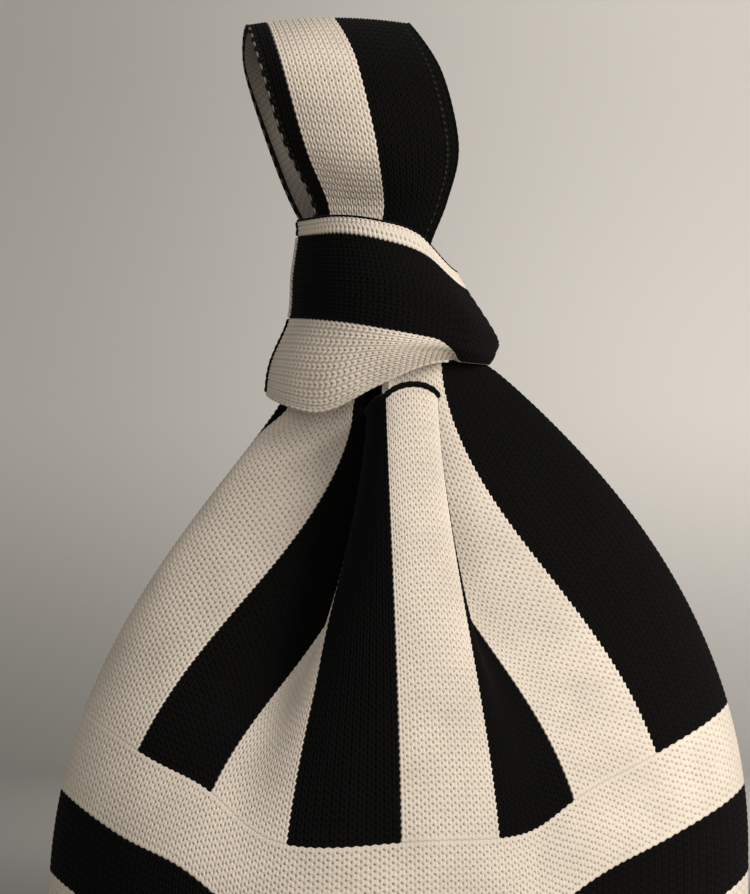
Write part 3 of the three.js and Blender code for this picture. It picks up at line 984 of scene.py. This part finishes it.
def backdrop_material(colour):
    """Plaster with painted light and shade: paler to the right, darker to the left, toward the floor and a
    little toward the top, faintly cloudy.
    """
    material = bpy.data.materials.new("wall_painted_light")
    material.use_nodes = True
    nodes, links = material.node_tree.nodes, material.node_tree.links
    shader = nodes["Principled BSDF"]
    shader.inputs["Roughness"].default_value = 0.9
    shader.inputs["Specular IOR Level"].default_value = 0.1
    place = nodes.new("ShaderNodeTexCoord")
    cloud = nodes.new("ShaderNodeTexNoise")
    cloud.inputs["Scale"].default_value = 3
    axes = nodes.new("ShaderNodeSeparateXYZ")
    links.new(place.outputs["Object"], cloud.inputs["Vector"])
    links.new(place.outputs["Object"], axes.inputs["Vector"])
    tone = cloud.outputs["Fac"]
    # Painted light and shade: the ramps in x and z stand in for the key's fall on the wall; the first ramp is
    # the cloudy tone
    ranges = (
        (None, (0, 1), (0.98, 1.02)),
        ("X", (-0.3, 0.24), (0.66, 0.98)),
        ("Z", (0.0, 0.24), (0.6, 1.0)),
        ("Z", (0.22, 0.5), (1.0, 0.9)),
    )
    for axis, (low, high), (dark, light) in ranges:
        ramp = nodes.new("ShaderNodeMapRange")
        ramp.interpolation_type = "SMOOTHSTEP"
        ramp.inputs["From Min"].default_value = low
        ramp.inputs["From Max"].default_value = high
        ramp.inputs["To Min"].default_value = dark
        ramp.inputs["To Max"].default_value = light
        links.new(axes.outputs[axis] if axis else tone, ramp.inputs["Value"])
        if axis:
            product = nodes.new("ShaderNodeMath")
            product.operation = "MULTIPLY"
            links.new(tone, product.inputs[0])
            links.new(ramp.outputs["Result"], product.inputs[1])
            tone = product.outputs["Value"]
        else:
            tone = ramp.outputs["Result"]
    paint = nodes.new("ShaderNodeVectorMath")
    paint.operation = "SCALE"
    paint.inputs[0].default_value = colour
    links.new(tone, paint.inputs["Scale"])
    links.new(paint.outputs["Vector"], shader.inputs["Base Color"])
    return material


def area_light(name, place, target, size, power, colour):
    """Soft light that looks at a point."""
    light = bpy.data.lights.new(name, "AREA")
    light.shape = "RECTANGLE"
    light.size, light.size_y = size
    light.energy = power
    light.color = colour
    obj = bpy.data.objects.new(name, light)
    obj.location = place
    obj.rotation_euler = (Vector(target) - Vector(place)).to_track_quat("-Z", "Y").to_euler()
    bpy.context.scene.collection.objects.link(obj)


class KNOTBAG_OT_stage(bpy.types.Operator):
    """Sets the wall, floor, lights and camera"""

    bl_idname = "knotbag.stage"
    bl_label = "Stage"

    def execute(self, context):
        stage = context.scene.knotbag_stage
        half_width, floor_front, corner_start, corner_radius, wall_top = 5.0, -4.0, 2.6, 0.6, 4.0
        profile = [(floor_front, 0.0)]
        for angle in np.linspace(0, np.pi / 2, 17):
            along, up = np.sin(angle), 1 - np.cos(angle)
            profile.append((corner_start + corner_radius * along, corner_radius * up))
        profile.append((corner_start + corner_radius, wall_top))
        points = np.array([[[x, y, z] for x in (-half_width, half_width)] for y, z in profile])
        mesh = bpy.data.meshes.new("backdrop")
        mesh.from_pydata(points.reshape(-1, 3).tolist(), [], grid_faces(len(profile), 2, 0, True).tolist())
        mesh.polygons.foreach_set("use_smooth", np.ones(len(mesh.polygons), dtype=bool))
        mesh.materials.append(backdrop_material(tuple(stage.wall)))
        backdrop = bpy.data.objects.new("backdrop", mesh)
        context.scene.collection.objects.link(backdrop)
        area_light("key", (1.15, -0.9, 0.75), (0, 0, 0.2), (0.9, 0.9), stage.key, (1.0, 0.985, 0.96))
        area_light("wash", (1.0, 1.7, 0.6), (0.25, 3.2, 0.25), (1.2, 1.0), stage.wash, (1.0, 0.99, 0.97))
        area_light("fill", (-0.5, -1.5, 0.6), (0, 0, 0.2), (1.2, 1.2), stage.fill, (1.0, 0.99, 0.98))
        world = bpy.data.worlds.new("studio")
        world.use_nodes = True
        background = world.node_tree.nodes["Background"]
        background.inputs["Color"].default_value = (0.95, 0.94, 0.93, 1)
        background.inputs["Strength"].default_value = stage.sky
        context.scene.world = world
        camera = bpy.data.cameras.new("camera")
        camera.sensor_fit = "VERTICAL"
        camera.angle_y = 2 * np.arctan(stage.frame_height / 2 / stage.distance)
        camera.clip_start = 0.05
        eye = bpy.data.objects.new("camera", camera)
        centre = Vector(stage.centre)
        eye.location = centre + Vector((0, -stage.distance, 0))
        eye.rotation_euler = (np.pi / 2, 0, 0)
        context.scene.collection.objects.link(eye)
        context.scene.camera = eye
        context.scene.view_settings.view_transform = "Standard"
        return {"FINISHED"}


class KNOTBAG_PT_panel(bpy.types.Panel):
    """Sizes and steps of the knot bag"""

    bl_idname = "KNOTBAG_PT_panel"
    bl_label = "Knot bag"
    bl_space_type = "VIEW_3D"
    bl_region_type = "UI"
    bl_category = "Knot bag"

    def draw(self, context):
        layout = self.layout
        for group in (context.scene.knotbag_knit, context.scene.knotbag_stage):
            for name in group.__annotations__:
                layout.prop(group, name)
        for step in OPERATORS:
            layout.operator(step.bl_idname)


OPERATORS = (
    KNOTBAG_OT_stripes,
    KNOTBAG_OT_bands,
    KNOTBAG_OT_edges,
    KNOTBAG_OT_wrap,
    KNOTBAG_OT_loop,
    KNOTBAG_OT_stage,
)
CLASSES = (KnotBagKnit, KnotBagStage, *OPERATORS, KNOTBAG_PT_panel)


def register():
    """Adds the add-on's classes and its settings to the scene."""
    for cls in CLASSES:
        bpy.utils.register_class(cls)
    bpy.types.Scene.knotbag_knit = bpy.props.PointerProperty(type=KnotBagKnit)
    bpy.types.Scene.knotbag_stage = bpy.props.PointerProperty(type=KnotBagStage)


def unregister():
    """Takes the settings and the classes away again."""
    del bpy.types.Scene.knotbag_stage
    del bpy.types.Scene.knotbag_knit
    for cls in reversed(CLASSES):
        bpy.utils.unregister_class(cls)


def main():
    """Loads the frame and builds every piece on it."""
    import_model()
    register()
    bpy.ops.knotbag.stage()
    bpy.ops.knotbag.stripes()
    bpy.ops.knotbag.bands()
    bpy.ops.knotbag.edges()
    bpy.ops.knotbag.wrap()
    bpy.ops.knotbag.loop()


if __name__ == "__main__":
    main()
